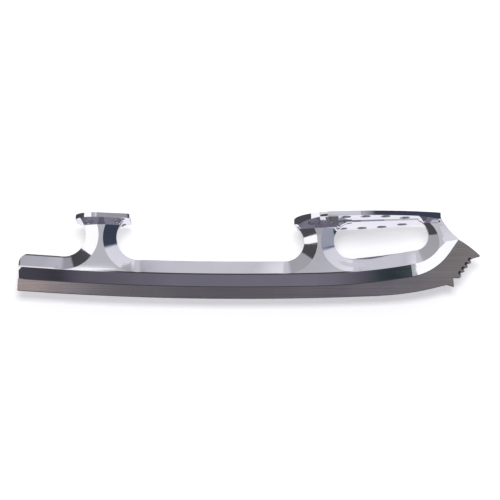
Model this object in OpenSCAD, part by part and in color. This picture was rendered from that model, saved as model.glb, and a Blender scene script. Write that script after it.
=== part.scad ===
// Figure skate blade: a machined aluminium chassis with a heel plate, a sole plate and a toe
// window, and a hardened steel runner bonded by its tongue into a slot along the chassis keel.
// X runs from tail to toe, Y to the skater's left, Z up from the lowest point of the rocker.

/* [Runner] */
// Radius of the main rocker, the long curve of the skating edge
rocker_r = 2134; // [1900:1:2500]
// Lowest point of the rocker along X
rocker_x = -4; // [-12:0.5:6]
// Radius of the shorter spin rocker under the ball of the foot
spin_r = 200; // [160:1:260]
// Where the spin rocker takes over from the main one
spin_x = 92; // [84:0.5:100]
// Thickness of the steel runner
runner_t = 4; // [3.6:0.1:4.2]
// Height of steel showing below the chassis at the middle
runner_h = 8.2; // [7:0.1:9.5]
// Rear end of the runner
runner_tail_x = -162.2; // [-164.5:0.1:-161.6]
// Radius of the hollow ground along the skating edge
hollow_r = 12.7; // [9:0.1:20]
// Thickness of the tongue that sits in the chassis
tongue_t = 2.4; // [2:0.1:2.6]
// How far the tongue reaches up into the chassis
tongue_h = 6; // [4:0.1:7]
// Adhesive film between tongue and slot
bond_gap = 0.15; // [0.1:0.01:0.25]
// How far the slot stops short of the chassis tail
slot_stop = 5; // [3:0.5:10]

/* [Toe picks] */
// Number of cross-cut teeth above the drag pick
pick_count = 4; // [3:1:4]
// Tip of the lowest tooth along X
pick_x = 149.2; // [148.6:0.1:149.6]
// Height of the lowest tooth tip
pick_z = 16; // [15.6:0.1:16.5]
// Distance from one tooth tip to the next
pick_pitch = 3.93; // [3.7:0.01:4.1]
// Lean of the line of tooth tips
pick_angle = 53; // [50:0.5:56]
// How far each tooth root lies behind its tip
pick_depth = 2.3; // [1.8:0.1:2.6]
// Direction of each root seen from its tip
pick_root_angle = 117; // [110:1:124]
// Front of the drag pick
drag_x = 143.9; // [143:0.1:144.5]
// Lowest point of the drag pick
drag_z = 8.5; // [7.6:0.1:9]
// Upper end of the drag pick's front face
drag_top_z = 14.8; // [14:0.1:15.2]
// Where the drag pick rises out of the spin rocker
drag_start_x = 138.9; // [138:0.1:140]
// Point of the top pick along X
toe_tip_x = 162.6; // [161.5:0.1:163.5]
// Height of the top pick's point
toe_tip_z = 30.1; // [29.5:0.1:30.6]
// Radius of the rounded steel edge over the picks
toe_crown_r = 66; // [60:1:80]

/* [Rail] */
// Rear end of the chassis
tail_x = -161; // [-161.5:0.1:-158]
// Radius of the keel ahead of the arch
keel_front_r = 450; // [410:1:500]
// Where the keel starts to rise faster than the rocker
keel_front_x = 48; // [46:0.5:50]
// Radius of the keel where it turns up to the toe
keel_toe_r = 40; // [37:0.5:44]
// Where the keel turns up to the toe
keel_toe_x = 115; // [113:0.5:117]
// Slope of the keel at the top of the toe
keel_toe_angle = 55; // [52:0.5:58]
// Width of the rail at the keel
keel_w = 4.8; // [4.6:0.1:5.4]
// Width of the rail at its ridge
ridge_w = 11.2; // [10:0.1:12]
// Width of the rail's top edge
crest_w = 4.4; // [3.8:0.1:5]
// Height of the bevels' upper edge above the keel
ridge_h = 7.75; // [7.2:0.05:8.4]
// Narrow upright band along the ridge, above the bevels
ridge_land = 0.9; // [0.5:0.1:1.1]
// Height of the rail above the keel
rail_h = 17.8; // [17:0.1:18.6]
// Radius of the tail's top corner
tail_r = 6.8; // [4:0.1:8]
// Length of the corner cut on the tail's lower bevels
tail_cut = 2.2; // [1.2:0.1:3]
// Depth of that corner cut into the rail's width
tail_cut_in = 1; // [0.6:0.1:1.6]

/* [Posts] */
// Thickness of the posts under the plates
post_top_w = 10.7; // [10:0.1:11]
// Height above the keel where the heel post's sides start to lean inward
heel_flat_h = 9.2; // [9:0.1:11]
// Height above the keel where the front post's sides start to lean inward
ball_flat_h = 10; // [9.6:0.1:12]
// Height where the toe's sides start to lean inward
toe_flat_z = 33.4; // [32:0.1:35]
// Thickness of the toe under the sole plate
toe_top_w = 6; // [5.2:0.1:7]
// How much wider the scallops open at the ridge than at their middle
scallop_flare = 9.7; // [9.2:0.05:10.2]
// How far the scallops dip into the rail's top line
scallop_dip = 0.2; // [0.1:0.05:0.4]
// Rear scallop of the heel post along X
heel_rear_x = -129.8; // [-131:0.1:-128.6]
// Radius of the heel post's rear scallop
heel_rear_r = 15.35; // [14.4:0.05:16]
// Front scallop of the heel post along X
heel_front_x = -76.8; // [-78:0.1:-75]
// Radius of the heel post's front scallop
heel_front_r = 16.2; // [15.2:0.05:17]
// Rear scallop of the front post along X
ball_rear_x = 25.2; // [24.4:0.1:26]
// Radius of the front post's rear scallop
ball_rear_r = 13.9; // [13:0.05:14.4]
// Rear end of the toe window along X
window_rear_x = 72.7; // [71.5:0.1:74]
// Radius of the window's rear end
window_rear_r = 12.7; // [12:0.05:12.9]
// Front end of the toe window along X
window_front_x = 115.7; // [114.7:0.1:116.5]
// Radius of the window's front end
window_front_r = 11; // [10.4:0.05:11.2]
// Centre of the hollow toe front along X
toe_hollow_x = 175.9; // [175:0.1:177]
// Height of the centre of the hollow toe front
toe_hollow_z = 77.4; // [76.5:0.1:78.5]
// Radius of the hollow toe front
toe_hollow_r = 45; // [44:0.1:46]

/* [Heel plate] */
// Rear edge of the heel plate
heel_plate_rear = -121.6; // [-122.6:0.1:-120.4]
// Front edge of the heel plate
heel_plate_front = -83.5; // [-84.5:0.1:-82]
// Greatest width of the heel plate
heel_plate_w = 37; // [34:0.5:42]
// Width of the heel plate's front edge
heel_plate_front_w = 28; // [26:0.5:32]
// Radius of the heel plate's rear corners
heel_corner_r = 13.5; // [11:0.5:15]
// Radius of the heel plate's front corners
heel_front_corner_r = 2; // [1:0.5:4]
// Height of the heel plate's top face
heel_plate_z = 58; // [57.4:0.1:58.6]
// Depth of the gusset under the heel plate
heel_gusset_h = 2.8; // [2:0.1:3.4]

/* [Sole plate] */
// Radius of the sole plate's round rear end
sole_rear_r = 26.5; // [24:0.5:28]
// Rear end of the sole plate
sole_rear_x = 32.1; // [31.2:0.1:32.8]
// Radius of the sole plate's long sides
sole_side_r = 170; // [150:1:200]
// Where the sole plate is widest
sole_wide_x = 62; // [60.5:0.5:66]
// Front edge of the sole plate
sole_front_x = 134.7; // [133:0.1:136]
// Height of the sole plate's top face at the widest place
sole_plate_z = 57.1; // [56.7:0.1:57.7]
// Rise of the sole plate toward the toe, in degrees
sole_tilt = 1.8; // [0.5:0.1:2.5]
// Depth of the gusset under the sole plate's rear
sole_gusset_h = 4; // [3:0.1:4.6]
// Width across which that gusset tapers
sole_gusset_w = 50; // [44:0.5:54]
// Depth of the gusset behind the toe
toe_gusset_h = 2.4; // [1.6:0.1:3]
// Width across which the toe gusset tapers
toe_gusset_w = 34; // [28:0.5:40]
// Centre of the round pocket beside the front post along X
pocket_x = 70; // [68:0.5:72]
// Distance of that pocket's centre from the middle
pocket_y = 24; // [23:0.5:25]
// Radius of that pocket
pocket_r = 16.7; // [15.5:0.1:17]
// Spread of the pocket's inner wall at the toe
pocket_toe_y = 14; // [12:0.5:15]
// Width of the low rib under the plate over the window
rib_w = 11; // [8:0.5:13]
// Depth of that rib
rib_h = 0.6; // [0.4:0.1:1]

/* [Plates and screw holes] */
// Thickness of both mounting plates
plate_t = 3.2; // [2.8:0.1:3.6]
// Diameter of the screw holes
hole_d = 4.4; // [4:0.1:5]
// Diameter of the countersinks, which open downward
sink_d = 8; // [7:0.1:8.6]
// Rear pair of heel holes along X
heel_hole_x = -112.5; // [-113.5:0.1:-110]
// Distance between the heel's rear and front pairs
heel_hole_step = 22; // [20:0.1:23]
// Distance across each pair of heel holes
heel_hole_across = 20; // [18:0.5:22]
// First pair of sole holes beside the window along X
sole_hole_x = 67.3; // [66.5:0.1:68.5]
// Distance from each pair of sole holes to the next
sole_hole_step = 14; // [13.4:0.1:14.4]
// Distance across the two widest pairs
sole_hole_across = 42; // [40:0.5:43]
// Distance across the third pair
sole_hole_third = 38; // [36:0.5:39]
// Distance across the pair nearest the toe
sole_hole_toe = 24; // [22:0.5:26]
// Pair of holes through the front post's gusset along X
gusset_hole_x = 45.5; // [44.5:0.1:47]
// Distance across the pair in the gusset
gusset_hole_across = 29; // [27:0.5:31]

/* [Hidden] */
$fn = 128;
fine = 1800;
eps = 0.01;
past = 60;
// side views are drawn between these heights
view_low = -20;
view_high = 70;
// cuts start this far outside what they cut
over = 2;
// stock left above the rail and ahead of the toe before they are cut to shape
stock_over = 4;
stock_ahead = 18;
stock_high = 9;
// angles of the keel's joints, from straight down about each centre
keel_r = rocker_r - runner_h;
tail_a = asin((tail_x - rocker_x) / keel_r);
front_a = asin((keel_front_x - rocker_x) / keel_r);
spin_a = asin((spin_x - rocker_x) / rocker_r);
function down(a) = [sin(a), -cos(a)];
// neighbouring arcs of the keel and of the rocker cross by this much, so that they join as one body
lap = 0.03;
lap_front = 1.6;
lap_toe = 5;
lap_spin = 2.5;
// centres of the keel's three arcs and of the spin rocker
main_c = [rocker_x, rocker_r];
front_c = main_c + (keel_r - keel_front_r + lap) * down(front_a);
toe_a = asin((keel_toe_x - front_c[0]) / keel_front_r);
toe_c = front_c + (keel_front_r - keel_toe_r + lap) * down(toe_a);
toe_end = toe_c + (keel_toe_r - lap) * down(keel_toe_angle);
toe_run = [cos(keel_toe_angle), sin(keel_toe_angle)];
spin_c = main_c + (rocker_r - spin_r + lap) * down(spin_a);
// slopes of the rail's upper faces and of the scallops
lean = (rail_h - ridge_h - ridge_land) / ((ridge_w - crest_w) / 2);
scallop_lean = scallop_flare / ((ridge_w - crest_w) / 2);
// a scallop's angle about the centre of the rail arc below it, and its own centre
function main_a(x, r) = asin((x - rocker_x) / (keel_r - rail_h - r));
function arch_a(x, r) = asin((x - front_c[0]) / (keel_front_r - rail_h - r));
function over_main(a, r) = main_c + (keel_r - rail_h - r + scallop_dip) * down(a);
function over_front(a, r) = front_c + (keel_front_r - rail_h - r + scallop_dip) * down(a);
heel_rear_a = main_a(heel_rear_x, heel_rear_r);
heel_front_a = main_a(heel_front_x, heel_front_r);
ball_rear_a = main_a(ball_rear_x, ball_rear_r);
window_rear_a = arch_a(window_rear_x, window_rear_r);
window_front_a = arch_a(window_front_x, window_front_r);
heel_rear_c = over_main(heel_rear_a, heel_rear_r);
heel_front_c = over_main(heel_front_a, heel_front_r);
ball_rear_c = over_main(ball_rear_a, ball_rear_r);
window_rear_c = over_front(window_rear_a, window_rear_r);
window_front_c = over_front(window_front_a, window_front_r);
toe_hollow_c = [toe_hollow_x, toe_hollow_z];
// underside of the sole plate at its widest place
sole_under_z = sole_plate_z - plate_t;
sole_rear_c = sole_rear_x + sole_rear_r;
sole_side_y = sqrt(pow(sole_side_r - sole_rear_r, 2) - pow(sole_wide_x - sole_rear_c, 2));
sole_touch_x = sole_wide_x - (sole_wide_x - sole_rear_c) * sole_side_r / (sole_side_r - sole_rear_r);
heel_under_z = heel_plate_z - plate_t;
// each tighter arc of the bevels and of the hollow is cut this much deeper than its neighbour
bevel_step = 0.05;
// arcs of the bevels and of the hollow run past their joints by these angles
bevel_ease = 0.5;
toe_ease = 2;
hollow_ease = 0.15;
// the hollow is cut this much past both sides of the runner
hollow_side = 0.5;
// the straight bevel above the toe arc, behind and ahead of the arc's end
line_back = 10;
line_len = 40;
tongue_line_len = 6;
run_out_gap = 0.3;
// the hollow takes this much off both edges, which leaves them sharp
edge_trim = 0.04;
hollow_depth = edge_trim + hollow_r - sqrt(pow(hollow_r, 2) - pow(runner_t / 2, 2));
// the tail's round corner starts this far below the crest
corner_dip = 0.15;
// the steel is drawn up to this height before the keel is cut out of it
steel_high = 35;
// how far the runner's rear end leans forward over that height
tail_lean = 1.225;
// how far the steel's crown starts up the toe, and how far the steel is drawn
crown_run = 12;
steel_run = 24;
// small offsets of the picks: drag face, gullet above it and underside of the top pick
drag_lean = 0.6;
gullet = [0.9, 1.3];
top_pick = [4.5, 1.2];
// gussets and rib reach this far into the plates, and are drawn this deep
seat = 0.5;
gusset_room = 10;
// where the pockets end behind the sole plate's front edge, inside and outside
pocket_back = 16;
pocket_flare = 10;
// how far the low rib runs past the ends of the window
rib_over = 4;
// how far the posts reach into the plates
post_seat = plate_t / 2;
function sole_mid_z(x) = sole_under_z + post_seat + (x - sole_wide_x) * tan(sole_tilt);

// draws a side view in the XZ plane and gives it a width along Y
module side(w) {
    rotate([90, 0, 0])
        linear_extrude(w, center = true)
            children();
}

// carries a section, height above the keel by width, round one arc of the keel
module keel_arc(c, r, from, to) {
    translate([c[0], 0, c[1]])
        rotate([90, 0, 0])
            rotate([0, 0, from - 90])
                rotate_extrude(angle = to - from, $fn = fine)
                    translate([r, 0])
                        mirror([1, 0])
                            children();
}

// carries a section straight along the end of the keel, from behind the end of the toe arc
module keel_line(back, len) {
    translate([toe_end[0], 0, toe_end[1]])
        rotate([90, 0, 0])
            rotate([0, 0, keel_toe_angle])
                rotate([90, 0, 90])
                    translate([0, 0, -back])
                        linear_extrude(back + len)
                            children();
}

// what is cut away beside one bevel, as height above the keel by width
module bevel_section(s, raise = 0) {
    slope = (ridge_w - keel_w) / 2 / ridge_h;
    translate([raise, 0])
        polygon([
            [-over, s * (keel_w / 2 - over * slope)],
            [ridge_h + over, s * (ridge_w / 2 + over * slope)],
            [ridge_h + over, s * ridge_w],
            [-over, s * ridge_w]
        ]);
}

// what is cut away above the rail between two scallops
module crest_section() {
    half = crest_w / 2;
    wide = ridge_w / 2 + over;
    high = rail_h + stock_high;
    low = rail_h - (wide - half) * lean;
    polygon([
        [rail_h, -half],
        [low, -wide],
        [high, -wide],
        [high, wide],
        [low, wide],
        [rail_h, half]
    ]);
}

module tail_trim() {
    z = main_c[1] - (keel_r - rail_h) * cos(tail_a);
    half = ridge_w / 2;
    slope = tail_cut_in / tail_cut;
    // round top corner
    side(past)
        difference() {
            translate([tail_x - over, z - tail_r])
                square([tail_r + over, past]);
            translate([tail_x + tail_r, z - tail_r - corner_dip])
                circle(r = tail_r);
            translate([tail_x + tail_r - eps, z - tail_r - over])
                square([past, tail_r + over - corner_dip * 1.5]);
        }
    // corners of the lower bevels
    for (s = [-1, 1])
        translate([0, 0, z - rail_h - over])
            linear_extrude(ridge_h + over)
                polygon([
                    [tail_x - over, s * (half - tail_cut_in - over * slope)],
                    [tail_x + tail_cut + over, s * (half + over * slope)],
                    [tail_x - over, s * (half + over * slope)]
                ]);
}

// round cut through the body, opening toward each side
module scallop(c, r) {
    reach = 8;
    edge = crest_w / 2;
    wide = r + (reach - edge) * scallop_lean;
    translate([c[0], 0, c[1]])
        rotate([90, 0, 0])
            rotate_extrude()
                polygon([
                    [0, -reach],
                    [wide, -reach],
                    [r, -edge],
                    [r, edge],
                    [wide, reach],
                    [0, reach]
                ]);
}

// plain round cut through a gusset, a little wider than the scallop that it goes on from
module run_out(c, r) {
    translate([c[0], 0, c[1]])
        rotate([90, 0, 0])
            cylinder(r = r + run_out_gap, h = past * 2, center = true);
}

// side view of the stock that rail, posts and toe are cut from
module stock_outline() {
    tail_z = heel_rear_c[1] - heel_rear_r + stock_over;
    rail_z = heel_front_c[1] - heel_front_r + stock_over;
    window_z = window_front_c[1] - window_front_r + stock_over;
    intersection() {
        above_keel();
        polygon([
            [tail_x, 0],
            [tail_x, tail_z],
            [heel_rear_c[0], tail_z],
            [heel_rear_c[0], heel_under_z + post_seat],
            [heel_front_c[0], heel_under_z + post_seat],
            [heel_front_c[0], rail_z],
            [ball_rear_c[0], rail_z],
            [ball_rear_c[0], ball_rear_c[1]],
            [sole_rear_x + over, ball_rear_c[1]],
            [sole_rear_x + over, sole_mid_z(sole_rear_x)],
            [window_rear_c[0], sole_mid_z(window_rear_c[0])],
            [window_rear_c[0], window_z],
            [window_front_c[0], window_z],
            [window_front_c[0], sole_mid_z(window_front_c[0])],
            [sole_front_x + stock_ahead, sole_mid_z(sole_front_x)],
            [sole_front_x + stock_ahead, 0]
        ]);
    }
}

// bevels along both sides of the keel
module bevels() {
    for (s = [-1, 1]) {
        keel_arc(main_c, keel_r, tail_a - bevel_ease, front_a + bevel_ease)
            bevel_section(s);
        keel_arc(front_c, keel_front_r, front_a, toe_a + toe_ease)
            bevel_section(s, bevel_step);
        keel_arc(toe_c, keel_toe_r, toe_a, keel_toe_angle)
            bevel_section(s, 2 * bevel_step);
        keel_line(line_back, line_len)
            bevel_section(s, bevel_step);
    }
}

// upper faces of the rail behind, between and ahead of the posts
module crests() {
    keel_arc(main_c, keel_r, tail_a - bevel_ease, heel_rear_a)
        crest_section();
    keel_arc(main_c, keel_r, heel_front_a, ball_rear_a)
        crest_section();
    keel_arc(front_c, keel_front_r, window_rear_a, window_front_a)
        crest_section();
}

// sides of a post, which lean inward from a given height above its foot
module flats(foot, a, h, top_z, top_w, len) {
    rise = top_z - foot[1] - h;
    slope = (ridge_w - top_w) / 2 / rise;
    translate([foot[0], 0, foot[1]])
        rotate([0, -a, 0])
            translate([-len / 2, 0, h])
                rotate([90, 0, 90])
                    linear_extrude(len)
                        for (s = [-1, 1])
                            polygon([
                                [s * (ridge_w / 2 + over * slope), -over],
                                [s * (top_w / 2 - over * slope), rise + over],
                                [s * ridge_w, rise + over],
                                [s * ridge_w, -over]
                            ]);
}

module body() {
    heel_a = (heel_rear_a + heel_front_a) / 2;
    heel_foot = main_c + keel_r * down(heel_a);
    heel_len = heel_front_c[0] - heel_rear_c[0];
    ball_foot = main_c + keel_r * down(front_a);
    ball_len = window_rear_c[0] - ball_rear_c[0];
    toe_len = sole_front_x + stock_ahead - window_front_c[0];
    toe_foot = [window_front_c[0] + toe_len / 2, 0];
    difference() {
        side(ridge_w)
            stock_outline();
        bevels();
        crests();
        scallop(heel_rear_c, heel_rear_r);
        scallop(heel_front_c, heel_front_r);
        scallop(ball_rear_c, ball_rear_r);
        scallop(window_rear_c, window_rear_r);
        scallop(window_front_c, window_front_r);
        scallop(toe_hollow_c, toe_hollow_r);
        flats(heel_foot, heel_a, heel_flat_h, heel_under_z, post_top_w, heel_len);
        flats(ball_foot, front_a, ball_flat_h, heel_under_z, post_top_w, ball_len);
        flats(toe_foot, 0, toe_flat_z, sole_mid_z(sole_front_x), toe_top_w, toe_len);
        tail_trim();
        slot(1);
    }
}

module heel_outline() {
    w = heel_plate_w / 2;
    f = heel_plate_front_w / 2;
    r = heel_corner_r;
    q = heel_front_corner_r;
    for (s = [-1, 1]) {
        translate([heel_plate_rear + r, s * (w - r)])
            circle(r = r);
        translate([heel_plate_front - q, s * (f - q)])
            circle(r = q);
        // side that touches both corner rounds
        a = [heel_plate_rear + r, w - r];
        b = [heel_plate_front - q, f - q];
        d = b - a;
        t = 90 + atan2(d[1], d[0]) + asin((q - r) / norm(d));
        n = [cos(t), sin(t)];
        polygon([
            [a[0], 0],
            [a[0], s * a[1]],
            [a[0] + r * n[0], s * (a[1] + r * n[1])],
            [b[0] + q * n[0], s * (b[1] + q * n[1])],
            [b[0], s * b[1]],
            [b[0], 0]
        ]);
    }
    translate([heel_plate_rear, -(w - r)])
        square([r * 2, 2 * (w - r)]);
    translate([heel_plate_front - q * 2, -(f - q)])
        square([q * 2, 2 * (f - q)]);
}

module sole_outline() {
    translate([sole_rear_c, 0])
        circle(r = sole_rear_r);
    intersection() {
        translate([sole_wide_x, sole_side_y])
            circle(r = sole_side_r, $fn = 720);
        translate([sole_wide_x, -sole_side_y])
            circle(r = sole_side_r, $fn = 720);
        translate([sole_touch_x, -past])
            square([sole_front_x - sole_touch_x, 2 * past]);
    }
}

// roof-shaped thickening under a plate, hanging down from z = 0
module gusset(x0, x1, w, h) {
    foot = post_top_w / 2;
    translate([x0, 0, 0])
        rotate([90, 0, 90])
            linear_extrude(x1 - x0)
                polygon([
                    [-w / 2, seat],
                    [-w / 2, 0],
                    [-foot, -h],
                    [foot, -h],
                    [w / 2, 0],
                    [w / 2, seat]
                ]);
}

// screw hole through a plate, countersunk from below
module screw_hole(x, y) {
    drop = 6;
    translate([x, y, -drop]) {
        cylinder(d = hole_d, h = plate_t + 2 * drop);
        cylinder(d = sink_d, h = drop);
        translate([0, 0, drop])
            cylinder(d1 = sink_d, d2 = hole_d, h = (sink_d - hole_d) / 2);
    }
}

module heel_head() {
    difference() {
        union() {
            translate([0, 0, heel_under_z])
                linear_extrude(plate_t)
                    heel_outline();
            difference() {
                translate([0, 0, heel_under_z])
                    intersection() {
                        gusset(heel_plate_rear - 1, heel_plate_front + 1, heel_plate_w - 4, heel_gusset_h);
                        translate([0, 0, -gusset_room])
                            linear_extrude(gusset_room + seat * 2)
                                heel_outline();
                    }
                // the scallops run out under the plate
                run_out(heel_rear_c, heel_rear_r);
                run_out(heel_front_c, heel_front_r);
            }
        }
        translate([0, 0, heel_under_z])
            for (i = [0, 1], s = [-1, 1])
                screw_hole(heel_hole_x + i * heel_hole_step, s * heel_hole_across / 2);
    }
}

module sole_place() {
    translate([sole_wide_x, 0, sole_under_z])
        rotate([0, -sole_tilt, 0])
            translate([-sole_wide_x, 0, 0])
                children();
}

module pockets() {
    for (s = [-1, 1])
        translate([0, 0, -gusset_room])
            linear_extrude(gusset_room) {
                translate([pocket_x, s * pocket_y])
                    circle(r = pocket_r);
                polygon([
                    [pocket_x, s * (pocket_y - pocket_r)],
                    [sole_front_x - pocket_back, s * pocket_toe_y],
                    [sole_front_x - pocket_flare, s * past],
                    [pocket_x, s * past]
                ]);
            }
}

module sole_head() {
    difference() {
        union() {
            sole_place()
                linear_extrude(plate_t)
                    sole_outline();
            difference() {
                sole_place()
                    difference() {
                        intersection() {
                            gusset(sole_rear_x - 1, window_rear_x, sole_gusset_w, sole_gusset_h);
                            translate([0, 0, -gusset_room])
                                linear_extrude(gusset_room + seat * 2)
                                    sole_outline();
                        }
                        pockets();
                    }
                // scallop and window run out under the plate
                run_out(ball_rear_c, ball_rear_r);
                run_out(window_rear_c, window_rear_r);
            }
            difference() {
                sole_place()
                    difference() {
                        intersection() {
                            gusset(window_front_x, sole_front_x + 1, toe_gusset_w, toe_gusset_h);
                            translate([0, 0, -gusset_room])
                                linear_extrude(gusset_room + seat * 2)
                                    sole_outline();
                        }
                        pockets();
                    }
                run_out(window_front_c, window_front_r);
            }
            // low rib over the window
            sole_place()
                translate([window_rear_x - rib_over, -rib_w / 2, -rib_h])
                    cube([window_front_x - window_rear_x + 2 * rib_over, rib_w, rib_h + seat]);
        }
        sole_place()
            for (s = [-1, 1]) {
                screw_hole(gusset_hole_x, s * gusset_hole_across / 2);
                screw_hole(sole_hole_x, s * sole_hole_across / 2);
                screw_hole(sole_hole_x + sole_hole_step, s * sole_hole_across / 2);
                screw_hole(sole_hole_x + 2 * sole_hole_step, s * sole_hole_third / 2);
                screw_hole(sole_hole_x + 3 * sole_hole_step, s * sole_hole_toe / 2);
            }
    }
}

module chassis() {
    color([0.78, 0.78, 0.80])
        union() {
            union() {
                body();
                heel_head();
            }
            sole_head();
        }
}

// side view of everything more than a given height above the keel
module above_keel(up = 0) {
    front_lap = keel_front_r * sin(lap_front);
    toe_lap = keel_toe_r * sin(lap_toe);
    rise = up * [-toe_run[1], toe_run[0]];
    intersection() {
        translate(main_c)
            circle(r = keel_r - up, $fn = fine);
        translate([tail_x - past, view_low])
            square([keel_front_x - tail_x + past, view_high - view_low]);
    }
    intersection() {
        translate(front_c)
            circle(r = keel_front_r - up, $fn = fine);
        translate([keel_front_x - front_lap, view_low])
            square([keel_toe_x - keel_front_x + front_lap, view_high - view_low]);
    }
    intersection() {
        translate(toe_c)
            circle(r = keel_toe_r - up, $fn = 360);
        translate([keel_toe_x - toe_lap, view_low])
            square([past, view_high - view_low]);
    }
    polygon([
        toe_end + rise,
        toe_end + line_len * toe_run + rise,
        [keel_toe_x, view_high],
        [keel_toe_x, toe_end[1] + rise[1]]
    ]);
}

// side view of a band along the keel, from a distance ahead of the tail to a distance up the toe
module keel_band(low, high, stop, run) {
    difference() {
        above_keel(-low);
        above_keel(high);
        translate([tail_x - past, -past])
            square([past + stop, past * 2]);
        translate(toe_end + run * toe_run)
            rotate(keel_toe_angle)
                translate([0, -past])
                    square([past, past * 2]);
    }
}

module tongue() {
    side(tongue_t)
        keel_band(1, tongue_h, slot_stop, tongue_line_len);
}

module slot(low) {
    side(tongue_t + 2 * bond_gap)
        keel_band(low, tongue_h + bond_gap, slot_stop - bond_gap, tongue_line_len + bond_gap);
}

module skating_edge() {
    spin_lap = spin_r * sin(lap_spin);
    intersection() {
        translate(main_c)
            circle(r = rocker_r, $fn = fine);
        polygon([
            [runner_tail_x, 0],
            [runner_tail_x + tail_lean, steel_high],
            [spin_x, steel_high],
            [spin_x, view_low],
            [runner_tail_x, view_low]
        ]);
    }
    intersection() {
        translate(spin_c)
            circle(r = spin_r, $fn = 720);
        translate([spin_x - spin_lap, view_low])
            square([drag_start_x + over - spin_x + spin_lap, steel_high - view_low]);
    }
}

module toe_picks() {
    start_z = spin_c[1] - sqrt(pow(spin_r, 2) - pow(drag_start_x - spin_c[0], 2));
    drag_slope = (start_z - drag_z) / (drag_x - drag_start_x);
    line = [cos(pick_angle), sin(pick_angle)];
    back = pick_depth * [cos(pick_root_angle), sin(pick_root_angle)];
    first = [pick_x, pick_z];
    teeth = [for (i = [0 : pick_count - 1], j = [0, 1])
        first + i * pick_pitch * line + j * back];
    tip = [toe_tip_x, toe_tip_z];
    steel_in = 6;
    // crown passes through the top pick's point and the front of the keel
    crown_end = toe_end + crown_run * toe_run;
    half = (tip + crown_end) / 2;
    chord = tip - crown_end;
    out = [-chord[1], chord[0]] / norm(chord);
    crown_c = half - sign(out[1]) * out * sqrt(pow(toe_crown_r, 2) - pow(norm(chord) / 2, 2));
    intersection() {
        translate(crown_c)
            circle(r = toe_crown_r, $fn = 360);
        polygon(concat(
            [
                [drag_start_x - crown_run, toe_end[1] - steel_in],
                [drag_start_x - over, start_z + over * drag_slope],
                [drag_x, drag_z],
                [drag_x - drag_lean, drag_top_z],
                first - gullet
            ],
            teeth,
            [
                tip - top_pick,
                tip,
                tip + [steel_in, steel_in],
                toe_end + steel_run * toe_run + [steel_in, 0],
                toe_end + steel_run * toe_run - [crown_run, 0]
            ]
        ));
    }
}

// hollow along one arc of the skating edge, as height above the arc by width
module hollow(c, r, depth, from, to) {
    half = runner_t / 2 + hollow_side;
    steps = 7;
    arc = [for (i = [0 : steps])
        let (y = half * (2 * i / steps - 1))
        [depth - hollow_r + sqrt(pow(hollow_r, 2) - pow(y, 2)), y]];
    keel_arc(c, r, from, to)
        polygon(concat([[-over, -half]], arc, [[-over, half]]));
}

module runner() {
    hollow_a = asin((runner_tail_x - over - rocker_x) / rocker_r);
    hollow_end_a = asin((drag_start_x - over - spin_c[0]) / spin_r);
    color([0.62, 0.61, 0.60])
        difference() {
            union() {
                side(runner_t)
                    difference() {
                        union() {
                            skating_edge();
                            toe_picks();
                        }
                        above_keel();
                    }
                tongue();
            }
            // hollow ground along the skating edge
            hollow(main_c, rocker_r, hollow_depth, hollow_a, spin_a + hollow_ease);
            hollow(spin_c, spin_r, hollow_depth + lap + bevel_step, spin_a, hollow_end_a);
        }
}

module bond_film() {
    color([0.25, 0.25, 0.27])
        difference() {
            slot(0);
            tongue();
        }
}

chassis();
runner();
bond_film();
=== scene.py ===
import math

import bmesh
import bpy
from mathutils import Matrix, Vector


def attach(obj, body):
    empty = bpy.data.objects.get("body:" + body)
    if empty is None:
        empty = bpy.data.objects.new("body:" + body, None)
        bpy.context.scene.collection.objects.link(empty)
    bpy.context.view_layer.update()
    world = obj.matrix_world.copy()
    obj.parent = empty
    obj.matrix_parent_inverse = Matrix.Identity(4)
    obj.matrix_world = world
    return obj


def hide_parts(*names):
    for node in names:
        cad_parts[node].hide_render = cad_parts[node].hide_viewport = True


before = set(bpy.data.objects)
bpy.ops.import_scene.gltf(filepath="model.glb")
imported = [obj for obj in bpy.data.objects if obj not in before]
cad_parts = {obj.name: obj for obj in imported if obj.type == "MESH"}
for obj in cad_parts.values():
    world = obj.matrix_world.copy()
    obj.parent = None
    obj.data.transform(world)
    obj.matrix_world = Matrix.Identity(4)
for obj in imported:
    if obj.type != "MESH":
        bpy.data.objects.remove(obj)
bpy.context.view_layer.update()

print("frame loaded:", ", ".join(sorted(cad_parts)))


class Signal:
    # a socket that takes part in Python sums, adding Math nodes as it goes
    def __init__(self, bench, socket):
        self.bench = bench
        self.socket = socket

    def apply(self, operation, *others):
        return self.bench.node("ShaderNodeMath", {"operation": operation}, dict(enumerate((self, *others))))

    def flipped(self, operation, other):
        return self.bench.node("ShaderNodeMath", {"operation": operation}, {0: other, 1: self})

    def __add__(self, other):
        return self.apply("ADD", other)

    def __sub__(self, other):
        return self.apply("SUBTRACT", other)

    def __mul__(self, other):
        return self.apply("MULTIPLY", other)

    def __truediv__(self, other):
        return self.apply("DIVIDE", other)

    def __rsub__(self, other):
        return self.flipped("SUBTRACT", other)

    def __rtruediv__(self, other):
        return self.flipped("DIVIDE", other)

    __radd__ = __add__
    __rmul__ = __mul__


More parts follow.
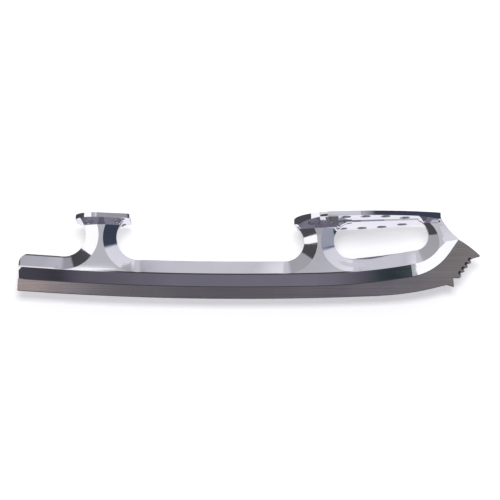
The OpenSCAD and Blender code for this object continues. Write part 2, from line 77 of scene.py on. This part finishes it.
class Bench:
    # node tree of a material, of the world or of a sweep
    def __init__(self, tree):
        self.tree = tree
        tree.nodes.clear()

    def node(self, kind, settings=None, inputs=None, output=0):
        made = self.tree.nodes.new(kind)
        for name, value in (settings or {}).items():
            if name == "stops":
                self.setStops(made.color_ramp, value)
            else:
                setattr(made, name, value)
        for key, value in (inputs or {}).items():
            if isinstance(value, Signal):
                self.tree.links.new(value.socket, made.inputs[key])
            else:
                made.inputs[key].default_value = value
        return Signal(self, made.outputs[output]) if made.outputs else None

    def setStops(self, ramp, stops):
        while len(ramp.elements) < len(stops):
            ramp.elements.new(0.5)
        for element, (place, shade) in zip(ramp.elements, stops):
            element.position = place
            element.color = shade

    def split(self, vector):
        # x, y and z of a vector
        first = self.node("ShaderNodeSeparateXYZ", {}, {0: vector})
        return [Signal(self, socket) for socket in first.socket.node.outputs]

    def rise(self, value, low, high):
        # smooth step from 0 at low to 1 at high
        return self.node("ShaderNodeMapRange", {"interpolation_type": "SMOOTHSTEP"}, {
            "Value": value, "From Min": low, "From Max": high})

    def blend(self, factor, low, high):
        return self.node("ShaderNodeMix", {"data_type": "FLOAT"}, {0: factor, 2: low, 3: high})

    def tint(self, factor, low, high, mode="MIX"):
        return self.node("ShaderNodeMix", {"data_type": "RGBA", "blend_type": mode},
                         {0: factor, 6: low, 7: high}, 2)


def newMaterial(name):
    material = bpy.data.materials.new(name)
    material.use_nodes = True
    return material, Bench(material.node_tree)


def closeMaterial(bench, surface):
    bench.node("ShaderNodeOutputMaterial", {}, {"Surface": surface})


def grey(tone):
    return (tone, tone, tone, 1.0)


# keel of the chassis in the XZ plane, in metres: centre and radius of its arcs, and the ends of each
keelValues = {
    "mainCentre": (-0.004, 2.134),
    "mainRadius": 2.1258,
    "tailX": -0.161,
    "frontX": 0.048,
    "frontRadius": 0.45,
    "toeX": 0.115,
    "toeRadius": 0.04,
    "toeAngle": 55.0,
}


def keelArcs(values):
    # centre, radius, first and last angle of each arc, from straight down
    def innerCentre(centre, radius, innerRadius, angle):
        reach = radius - innerRadius
        return (centre[0] + reach * math.sin(angle), centre[1] - reach * math.cos(angle))

    main, mainRadius = values["mainCentre"], values["mainRadius"]
    tail = math.asin((values["tailX"] - main[0]) / mainRadius)
    front = math.asin((values["frontX"] - main[0]) / mainRadius)
    frontCentre = innerCentre(main, mainRadius, values["frontRadius"], front)
    toe = math.asin((values["toeX"] - frontCentre[0]) / values["frontRadius"])
    toeCentre = innerCentre(frontCentre, values["frontRadius"], values["toeRadius"], toe)
    return [
        (main, mainRadius, tail, front),
        (frontCentre, values["frontRadius"], front, toe),
        (toeCentre, values["toeRadius"], toe, math.radians(values["toeAngle"])),
    ]


# polished aluminium, with faint polishing lines along the blade, painted dark reflection lines at the ridge
# and the crest, and a painted shade that darkens the tail end
chassisFinish = {
    "light": (0.86, 0.86, 0.90, 1.0),
    "dull": (0.80, 0.80, 0.845, 1.0),
    "cloudScale": 24.0,
    "cloudDetail": 3.0,
    "cloudRange": (0.35, 0.65),
    "rough": (0.035, 0.085),
    "lineScale": (14.0, 900.0, 900.0),
    "lineDetail": 4.0,
    "lineRange": (0.3, 0.75),
    "lineDepth": 0.000005,
    "lineStrength": 0.15,
    # painted dark reflection: the colour of the lines at the ridge and the crest
    "ridge": (0.115, 0.115, 0.13, 1.0),
    "ridgeHeight": (0.00770, 0.00862),
    "ridgeRear": (-0.106, -0.090),
    "ridgeFront": (0.066, 0.078),
    "ridgeSide": 0.0054,
    "arcJoin": 0.0001,
    "crestHeight": 0.0167,
    "crestRear": -0.160,
    "crestFront": (-0.130, -0.122),
    "crestShare": 0.85,
    # painted shade: the tail end of the chassis is darkened
    "tailPaintedShade": (0.85, 0.85, 0.87, 1.0),
    "tailEnds": (-0.126, -0.112),
}


def brushed(bench, place, values):
    # noise of the fine lines along the blade, of wider clouds, and the bump of the lines
    stretched = bench.node("ShaderNodeMapping", {}, {"Vector": place, "Scale": values["lineScale"]})
    lines = bench.node("ShaderNodeTexNoise", {}, {
        "Vector": stretched, "Scale": 1.0, "Detail": values["lineDetail"]})
    cloud = bench.node("ShaderNodeTexNoise", {}, {
        "Vector": place, "Scale": values["cloudScale"], "Detail": values["cloudDetail"]})
    bump = bench.node("ShaderNodeBump", {}, {
        "Strength": values["lineStrength"], "Distance": values["lineDepth"], "Height": lines})
    return lines, cloud, bump


def ridgeLine(bench, place, values):
    # 1 on the painted dark reflection lines: the upright band at the ridge, and the crest's edge at the tail
    x, y, z = bench.split(place)
    heights = []
    for centre, radius, _, _ in keelArcs(keelValues)[:2]:
        across, rise = x - centre[0], z - centre[1]
        heights.append(radius - (across * across + rise * rise).apply("SQRT"))
    join, blur = keelValues["frontX"], values["arcJoin"]
    height = bench.blend(bench.rise(x, join - blur, join + blur), *heights)
    low, high = values["ridgeHeight"]
    band = height.apply("GREATER_THAN", low) * height.apply("LESS_THAN", high)
    band = band * bench.rise(x, *values["ridgeRear"]) * (1 - bench.rise(x, *values["ridgeFront"]))
    band = band * y.apply("ABSOLUTE").apply("GREATER_THAN", values["ridgeSide"])
    crest = height.apply("GREATER_THAN", values["crestHeight"]) * (1 - bench.rise(x, *values["crestFront"]))
    tail = x.apply("LESS_THAN", values["crestRear"]) * height.apply("GREATER_THAN", high)
    return band.apply("MAXIMUM", crest.apply("MAXIMUM", tail) * values["crestShare"])


def polishedAluminium(values):
    material, bench = newMaterial("polishedAluminium")
    place = bench.node("ShaderNodeTexCoord", output="Object")
    lines, cloud, bump = brushed(bench, place, values)
    colour = bench.tint(bench.rise(cloud, *values["cloudRange"]), values["dull"], values["light"])
    # painted shade: darker towards the tail end
    tail = 1 - bench.rise(bench.split(place)[0], *values["tailEnds"])
    colour = bench.tint(tail, colour, values["tailPaintedShade"], "MULTIPLY")
    # painted dark reflection lines at the ridge and the crest
    colour = bench.tint(ridgeLine(bench, place, values), colour, values["ridge"])
    rough = bench.blend(bench.rise(lines, *values["lineRange"]), *values["rough"])
    surface = bench.node("ShaderNodeBsdfPrincipled", {}, {
        "Base Color": colour, "Metallic": 1.0, "Roughness": rough, "Normal": bump})
    closeMaterial(bench, surface)
    return material


# ground steel, with fine grinding lines along the runner, rougher edge faces painted dark as shade, painted
# shadows in the tooth gullets, and painted reflection tones along the runner
runnerFinish = {
    "light": (0.242, 0.225, 0.244, 1.0),
    "dark": (0.214, 0.198, 0.217, 1.0),
    "ends": (-0.165, 0.165),
    # painted reflection: lighter towards both ends of the runner and darker in the middle, multiplied into
    # the colour
    "along": [
        (0.0, (1.62, 1.50, 1.40, 1.0)), (0.12, (1.50, 1.46, 1.40, 1.0)), (0.22, (1.04, 1.06, 1.06, 1.0)),
        (0.45, (0.94, 0.93, 0.95, 1.0)), (0.66, (1.0, 0.98, 1.0, 1.0)), (0.80, (1.12, 1.14, 1.16, 1.0)),
        (0.92, (1.45, 1.46, 1.30, 1.0)),
    ],
    "cloudScale": 40.0,
    "cloudDetail": 4.0,
    "cloudShare": 0.4,
    "rough": (0.32, 0.24),
    "lineScale": (6.0, 500.0, 900.0),
    "lineDetail": 5.0,
    "lineRange": (0.35, 0.65),
    "lineDepth": 0.000008,
    "lineStrength": 0.3,
    # painted shade: the edge and cut faces that do not face the sides are dark; they are also rougher
    "edge": (0.060, 0.058, 0.060, 1.0),
    "edgeRough": 0.5,
    "edgeTurn": (0.3, 0.8),
    # painted shadows in the gullets between the teeth
    "gulletStart": (0.1492, 0.0160),
    "gulletLean": 53.0,
    "gulletPlace": (0.00101, 0.00207),
    "gulletPitch": 0.00393,
    "gulletLast": 3,
    "gulletReach": (0.0009, 0.0016),
}


def paintedGulletShadows(bench, place, values):
    # 1 in the painted shadows of the gullets that repeat along the line of teeth
    x, _, z = bench.split(place)
    lean = math.radians(values["gulletLean"])
    pitch = values["gulletPitch"]
    across, rise = x - values["gulletStart"][0], z - values["gulletStart"][1]
    along = across * math.cos(lean) + rise * math.sin(lean) - values["gulletPlace"][0]
    inward = rise * math.cos(lean) - across * math.sin(lean) - values["gulletPlace"][1]
    count = (along / pitch).apply("ROUND").apply("MAXIMUM", 0.0).apply("MINIMUM", values["gulletLast"])
    offset = along - count * pitch
    return 1 - bench.rise((offset * offset + inward * inward).apply("SQRT"), *values["gulletReach"])


def groundSteel(values):
    material, bench = newMaterial("groundSteel")
    place = bench.node("ShaderNodeTexCoord", output="Object")
    lines, cloud, bump = brushed(bench, place, values)
    mask = bench.rise(bench.blend(values["cloudShare"], lines, cloud), *values["lineRange"])
    # painted shade on the faces that do not face the sides
    facing = bench.split(bench.node("ShaderNodeNewGeometry", output="Normal"))[1].apply("ABSOLUTE")
    edge = 1 - bench.rise(facing, *values["edgeTurn"])
    edge = edge.apply("MAXIMUM", paintedGulletShadows(bench, place, values))
    first, last = values["ends"]
    # painted reflection tones along the runner
    share = (bench.split(place)[0] - first) / (last - first)
    along = bench.node("ShaderNodeValToRGB", {"stops": values["along"]}, {0: share})
    colour = bench.tint(1.0, bench.tint(mask, values["dark"], values["light"]), along, "MULTIPLY")
    colour = bench.tint(edge, colour, values["edge"])
    rough = bench.blend(edge, bench.blend(mask, *values["rough"]), values["edgeRough"])
    surface = bench.node("ShaderNodeBsdfPrincipled", {}, {
        "Base Color": colour, "Metallic": 1.0, "Roughness": rough, "Normal": bump})
    closeMaterial(bench, surface)
    return material


# dark cured adhesive with a fine grain
adhesiveFinish = {
    "dark": (0.05, 0.05, 0.055, 1.0),
    "light": (0.11, 0.11, 0.12, 1.0),
    "rough": (0.45, 0.65),
    "grainScale": 900.0,
    "grainDetail": 3.0,
}


def curedAdhesive(values):
    material, bench = newMaterial("curedAdhesive")
    place = bench.node("ShaderNodeTexCoord", output="Object")
    grain = bench.node("ShaderNodeTexNoise", {}, {
        "Vector": place, "Scale": values["grainScale"], "Detail": values["grainDetail"]})
    colour = bench.tint(grain, values["dark"], values["light"])
    rough = bench.blend(grain, *values["rough"])
    surface = bench.node("ShaderNodeBsdfPrincipled", {}, {"Base Color": colour, "Roughness": rough})
    closeMaterial(bench, surface)
    return material


# each metal piece is its solid from the frame, with its curves smoothed
pieceFinish = {
    "chassis": {"piece": "polishedChassis", "slot": "chassis_metal"},
    "runner": {"piece": "groundRunner", "slot": "runner_steel"},
}
sharpAngle = math.radians(15.5)
mergeGap = 2e-6


def finishedPiece(node, values, material):
    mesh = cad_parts[node].data.copy()
    mesh.name = values["piece"]
    form = bmesh.new()
    form.from_mesh(mesh)
    bmesh.ops.remove_doubles(form, verts=form.verts, dist=mergeGap)
    for face in form.faces:
        face.smooth = True
    for edge in form.edges:
        edge.smooth = len(edge.link_faces) == 2 and edge.calc_face_angle(0.0) < sharpAngle
    form.to_mesh(mesh)
    form.free()
    piece = bpy.data.objects.new(values["piece"], mesh)
    bpy.context.scene.collection.objects.link(piece)
    piece.data.materials.clear()
    piece.data.materials.append(material)
    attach(piece, "root")
    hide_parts(node)
    return piece


finishes = {"chassis": polishedAluminium(chassisFinish), "runner": groundSteel(runnerFinish)}
for node, values in pieceFinish.items():
    print("finished", finishedPiece(node, values, finishes[node]).name)

# squeezed-out bead of adhesive along both sides of the joint, swept along the keel
beadValues = {
    "Bead radius": 0.00028,
    "Bead sides": 10,
    "side": 0.0021,
    "drop": 0.0001,
    "ends": 0.0006,
    "steps": (70, 24, 24),
}


def beadPath(values):
    points = []
    for (centre, radius, first, last), steps in zip(keelArcs(keelValues), values["steps"]):
        reach = radius + values["drop"]
        for i in range(steps):
            angle = first + (last - first) * i / steps
            points.append((centre[0] + reach * math.sin(angle), centre[1] - reach * math.cos(angle)))
    return [point for point in points if point[0] > keelValues["tailX"] + values["ends"]]


def beadTree(material):
    tree = bpy.data.node_groups.new("beadSweep", "GeometryNodeTree")
    tree.interface.new_socket("Geometry", in_out="INPUT", socket_type="NodeSocketGeometry")
    tree.interface.new_socket("Bead radius", in_out="INPUT", socket_type="NodeSocketFloat")
    tree.interface.new_socket("Bead sides", in_out="INPUT", socket_type="NodeSocketInt")
    tree.interface.new_socket("Geometry", in_out="OUTPUT", socket_type="NodeSocketGeometry")
    bench = Bench(tree)
    path, radius, sides = (bench.node("NodeGroupInput", output=i) for i in range(3))
    profile = bench.node("GeometryNodeCurvePrimitiveCircle", {}, {"Resolution": sides, "Radius": radius})
    sweep = bench.node("GeometryNodeCurveToMesh", {}, {
        "Curve": path, "Profile Curve": profile, "Fill Caps": True})
    whole = bench.node("GeometryNodeRealizeInstances", {}, {"Geometry": sweep})
    coated = bench.node("GeometryNodeSetMaterial", {}, {"Geometry": whole, "Material": material})
    bench.node("NodeGroupOutput", {}, {0: coated})
    return tree


def makeBead(values, material):
    curve = bpy.data.curves.new("beadPath", "CURVE")
    curve.dimensions = "3D"
    path = beadPath(values)
    for side in (-1, 1):
        spline = curve.splines.new("POLY")
        spline.points.add(len(path) - 1)
        for point, (x, z) in zip(spline.points, path):
            point.co = (x, side * values["side"], z, 1.0)
    guide = bpy.data.objects.new("beadPath", curve)
    bpy.context.scene.collection.objects.link(guide)
    tree = beadTree(material)
    modifier = guide.modifiers.new("sweep", "NODES")
    modifier.node_group = tree
    for item in tree.interface.items_tree:
        if item.in_out == "INPUT" and item.name in values:
            modifier[item.identifier] = values[item.name]
    graph = bpy.context.evaluated_depsgraph_get()
    mesh = bpy.data.meshes.new_from_object(guide.evaluated_get(graph))
    bpy.data.objects.remove(guide)  # its modifier goes with it
    return mesh


def makeBond(values, material):
    # the film from the frame and the bead, as one piece
    form = bmesh.new()
    form.from_mesh(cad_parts["bond_film"].data)
    form.from_mesh(makeBead(values, material))
    bmesh.ops.remove_doubles(form, verts=form.verts, dist=mergeGap)
    mesh = bpy.data.meshes.new("bondLine")
    form.to_mesh(mesh)
    form.free()
    mesh.materials.clear()
    mesh.materials.append(material)
    mesh.polygons.foreach_set("material_index", [0] * len(mesh.polygons))
    piece = bpy.data.objects.new("bondLine", mesh)
    bpy.context.scene.collection.objects.link(piece)
    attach(piece, "root")
    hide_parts("bond_film")
    return piece


print("finished", makeBond(beadValues, curedAdhesive(adhesiveFinish)).name)

# plain pale wall and floor, seen only from the side that faces the blade
stagePlaces = {
    "wallBehind": 0.017,
    "wallLean": 0.19,
    "wallSize": 1.6,
    "wallShade": 0.90,
    "wallGlow": 0.42,
    "floorSize": 6.0,
    "floorShade": 0.86,
}


def oneSided(name, shade, glow):
    material, bench = newMaterial(name)
    pale = bench.node("ShaderNodeBsdfPrincipled", {}, {
        "Base Color": grey(shade), "Roughness": 1.0, "Specular IOR Level": 0.0,
        "Emission Color": grey(1.0), "Emission Strength": glow})
    clear = bench.node("ShaderNodeBsdfTransparent")
    behind = bench.node("ShaderNodeNewGeometry", output="Backfacing")
    closeMaterial(bench, bench.node("ShaderNodeMixShader", {}, {0: behind, 1: pale, 2: clear}))
    return material


def stagePlane(name, corners, material):
    mesh = bpy.data.meshes.new(name)
    mesh.from_pydata(corners, [], [list(range(len(corners)))])
    mesh.materials.append(material)
    plane = bpy.data.objects.new(name, mesh)
    bpy.context.scene.collection.objects.link(plane)
    plane.visible_shadow = False
    return plane


def makeStage(values):
    half = values["wallSize"] / 2
    wide = values["floorSize"] / 2
    foot, head = (values["wallBehind"] + values["wallLean"] * z for z in (-half, half))
    wallCorners = [(-half, foot, -half), (half, foot, -half), (half, head, half), (-half, head, half)]
    floorCorners = [(-wide, -wide, 0), (wide, -wide, 0), (wide, wide, 0), (-wide, wide, 0)]
    wall = stagePlane("wall", wallCorners, oneSided("paleWall", values["wallShade"], values["wallGlow"]))
    floor = stagePlane("floor", floorCorners, oneSided("paleFloor", values["floorShade"], 0.0))
    for plane in (wall, floor):
        plane.visible_glossy = False
        plane.visible_diffuse = False


makeStage(stagePlaces)

# cards that the polished faces pick up, in the XZ plane at a depth in front of the blade
cardPlaces = {
    "tailCard": {
        "depth": -0.35, "glow": (1.15, 1.15, 1.16),
        "edge": [(-0.750, -0.420), (-0.520, -0.060), (-0.235, 0.060), (-0.118, 0.082), (-0.118, 0.0855),
                 (-0.165, 0.088), (-0.235, 0.165), (-0.520, 0.420), (-0.750, 0.420)]},
    "tailLowCard": {
        "depth": -0.12, "glow": (1.05, 0.98, 0.95),
        "edge": [(-0.225, 0.010), (-0.146, 0.010), (-0.154, 0.0445), (-0.225, 0.048)]},
    "heelEdgeCard": {
        "depth": -0.35, "glow": (0.36, 0.355, 0.385),
        "edge": [(-0.030, 0.117), (0.085, 0.117), (0.085, 0.138), (-0.030, 0.138)]},
    "soleRearCard": {
        "depth": -0.035, "glow": (0.84, 0.84, 0.85),
        "edge": [(0.042, 0.0572), (0.053, 0.0572), (0.053, 0.0610), (0.042, 0.0610)]},
    "soleSideCard": {
        "depth": -0.035, "glow": (0.67, 0.655, 0.70),
        "edge": [(0.053, 0.0562), (0.080, 0.0562), (0.080, 0.0610), (0.053, 0.0610)]},
    "soleWedgeCard": {
        "depth": -0.020, "glow": (0.155, 0.148, 0.170),
        "edge": [(0.069, 0.0506), (0.080, 0.0506), (0.080, 0.0525), (0.069, 0.0525)]},
    "archCard": {
        "depth": -0.35, "glow": (0.42, 0.41, 0.43),
        "edge": [(-0.210, 0.270), (0.020, 0.250), (0.020, 0.362), (-0.025, 0.400), (-0.210, 0.400)]},
    "windowCard": {
        "depth": -0.035, "glow": (0.36, 0.38, 0.45),
        "edge": [(0.060, 0.0405), (0.098, 0.0455), (0.098, 0.0555), (0.084, 0.0508), (0.076, 0.0488),
                 (0.060, 0.0488)]},
    "toeGreyCard": {
        "depth": -0.100, "glow": (0.42, 0.41, 0.43),
        "edge": [(0.040, 0.066), (0.100, 0.066), (0.100, 0.112), (0.040, 0.112)]},
    "toeFlatCard": {
        "depth": -0.35, "glow": (0.60, 0.585, 0.615),
        "edge": [(0.160, 0.140), (0.235, 0.140), (0.235, 0.260), (0.160, 0.260)]},
    "toeCard": {
        "depth": -0.35, "glow": (1.15, 1.15, 1.15),
        "edge": [(0.240, -0.330), (0.500, -0.330), (0.500, -0.020), (0.290, -0.020), (0.290, -0.170),
                 (0.240, -0.190)]},
    "bevelGlowCard": {
        "depth": -0.35, "glow": (0.46, 0.49, 0.48),
        "edge": [(0.214, -0.330), (0.240, -0.330), (0.240, -0.190), (0.214, -0.190)]},
}


def makeCard(name, values):
    material, bench = newMaterial(name)
    light = bench.node("ShaderNodeEmission", {}, {"Color": (*values["glow"], 1.0), "Strength": 1.0})
    closeMaterial(bench, light)
    card = stagePlane(name, [(x, values["depth"], z) for x, z in values["edge"]], material)
    card.visible_camera = False
    card.visible_diffuse = False


for name, values in cardPlaces.items():
    makeCard(name, values)

# tent around the blade: bright roof with a slanted edge, grey front, dark sides and floor
tentValues = {
    # grey tones by the angle across, in degrees, within the span to each side
    "span": 45.0,
    "roof": [(-25, 0.42), (-10, 0.43), (-5, 0.64), (-1, 0.67), (1, 0.62), (3.5, 0.78), (6.3, 0.88),
             (25, 0.80)],
    "front": [(-17, 0.08), (-13, 0.34), (-5, 0.54), (2, 0.51), (5, 0.70), (9, 0.74), (13, 0.55), (18.5, 0.30),
              (21.5, 0.06)],
    "low": [(-18, 0.25), (-15, 0.055), (-12.3, 0.085), (-11.6, 0.074), (-11, 0.066), (-10.6, 0.048),
            (-10.25, 0.048), (-9.8, 0.105), (-9.3, 0.120), (-8.5, 0.112), (-4, 0.185), (3, 0.19), (6, 0.165),
            (9, 0.107), (11.5, 0.042), (13, 0.036), (15, 0.06), (18, 0.28)],
    # tones and tints of the other parts
    "farSide": 0.55,
    "farLow": 0.175,
    "backRoom": (0.42, 0.82),
    "backStrip": 0.97,
    "tint": (0.975, 0.965, 1.03, 1.0),
    "toeTint": (0.80, 0.95, 1.40, 1.0),
    "lowTint": (0.985, 0.915, 1.13, 1.0),
    "lowToeTint": (0.79, 1.09, 1.24, 1.0),
    # where the parts begin and end: degrees up or across, or for the back a share of straight back
    "roofEdge": 22.0,
    "roofTurn": 5.0,
    "roofSlant": 0.86,
    "roofBlur": (-2.0, 2.0),
    "lowTop": (-24.0, -12.0),
    "farAcross": (38.0, 48.0),
    "farFoot": (14.0, 22.0),
    "farLowAcross": (42.0, 47.0),
    "farLowTop": (-4.0, 4.0),
    "roomBack": (0.02, 0.25),
    "roomFoot": (12.0, 20.0),
    "roomRise": (12.0, 60.0),
    "stripBack": (0.5, 0.8),
    "stripFoot": (-30.0, -24.0),
    "stripTop": (-4.0, 2.0),
    "toeAcross": (18.0, 21.5),
    "lowToeAcross": (9.0, 11.5),
    "lowToeEnd": (15.5, 17.0),
}


def toneRow(bench, across, row, span):
    stops = [((angle + span) / (2 * span), grey(tone)) for angle, tone in row]
    return bench.node("ShaderNodeValToRGB", {"stops": stops}, {0: (across + span) / (2 * span)})


def makeTent(values):
    world = bpy.data.worlds.new("tent")
    bpy.context.scene.world = world
    world.use_nodes = True
    bench = Bench(world.node_tree)
    x, y, z = bench.split(bench.node("ShaderNodeTexCoord", output="Generated"))
    degrees = math.degrees(1.0)
    up = z.apply("ARCSINE") * degrees
    across = x.apply("ARCTAN2", y.apply("ABSOLUTE")) * degrees
    edge = values["roofEdge"] + (values["roofTurn"] - across).apply("MAXIMUM", 0.0) * values["roofSlant"]
    roof = bench.rise(up - edge, *values["roofBlur"])
    low = 1 - bench.rise(up, *values["lowTop"])
    far = bench.rise(across.apply("ABSOLUTE"), *values["farAcross"]) * bench.rise(up, *values["farFoot"])
    farLow = bench.rise(across, *values["farLowAcross"]) * (1 - bench.rise(up, *values["farLowTop"]))
    room = bench.rise(y, *values["roomBack"]) * bench.rise(up, *values["roomFoot"])
    strip = bench.rise(y, *values["stripBack"]) * bench.rise(up, *values["stripFoot"])
    strip = strip * (1 - bench.rise(up, *values["stripTop"]))
    toe = bench.rise(across, *values["toeAcross"]) * (1 - roof) * (1 - far) * (1 - farLow)
    lowToe = bench.rise(across, *values["lowToeAcross"]) * (1 - bench.rise(across, *values["lowToeEnd"]))
    colour = toneRow(bench, across, values["front"], values["span"])
    layers = [
        (low, toneRow(bench, across, values["low"], values["span"])),
        (roof, toneRow(bench, across, values["roof"], values["span"])),
        (far, grey(values["farSide"])),
        (farLow, grey(values["farLow"])),
        (room, bench.blend(bench.rise(up, *values["roomRise"]), *values["backRoom"])),
        (strip, grey(values["backStrip"])),
    ]
    for mask, tone in layers:
        colour = bench.tint(mask, colour, tone)
    lowShade = bench.tint(lowToe, values["lowTint"], values["lowToeTint"])
    shade = bench.tint(low, bench.tint(toe, values["tint"], values["toeTint"]), lowShade)
    colour = bench.tint(1.0, colour, shade, "MULTIPLY")
    light = bench.node("ShaderNodeBackground", {}, {"Color": colour, "Strength": 1.0})
    bench.node("ShaderNodeOutputWorld", {}, {"Surface": light})


makeTent(tentValues)

# soft lamp in front, which lights the wall and throws the blade's shadow on it
lampValues = {
    "place": (0.0, -1.3, 0.23),
    "aim": (0.0, 0.03, 0.02),
    "width": 0.50,
    "height": 0.34,
    "power": 7.7,
}


def turnTo(thing, aim):
    thing.rotation_euler = (Vector(aim) - thing.location).to_track_quat("-Z", "Y").to_euler()


def makeLamp(values):
    data = bpy.data.lights.new("frontLamp", "AREA")
    data.shape = "RECTANGLE"
    data.size = values["width"]
    data.size_y = values["height"]
    data.energy = values["power"]
    lamp = bpy.data.objects.new("frontLamp", data)
    bpy.context.scene.collection.objects.link(lamp)
    lamp.location = values["place"]
    turnTo(lamp, values["aim"])
    lamp.visible_glossy = False


makeLamp(lampValues)
print("stage and light set")

# the view is from a little below, square to the blade's side
viewValues = {
    "aim": (0.0010, 0.0, 0.0346),
    "distance": 1.30,
    "below": 10.5,
    "lens": 133.0,
    "sensor": 36.0,
}


def makeCamera(values):
    data = bpy.data.cameras.new("view")
    data.lens = values["lens"]
    data.sensor_width = values["sensor"]
    camera = bpy.data.objects.new("view", data)
    bpy.context.scene.collection.objects.link(camera)
    tilt = math.radians(values["below"])
    back = Vector((0.0, -math.cos(tilt), -math.sin(tilt)))
    camera.location = Vector(values["aim"]) + values["distance"] * back
    turnTo(camera, values["aim"])
    bpy.context.scene.camera = camera


makeCamera(viewValues)
bpy.context.scene.view_settings.view_transform = "Standard"
print("camera set")
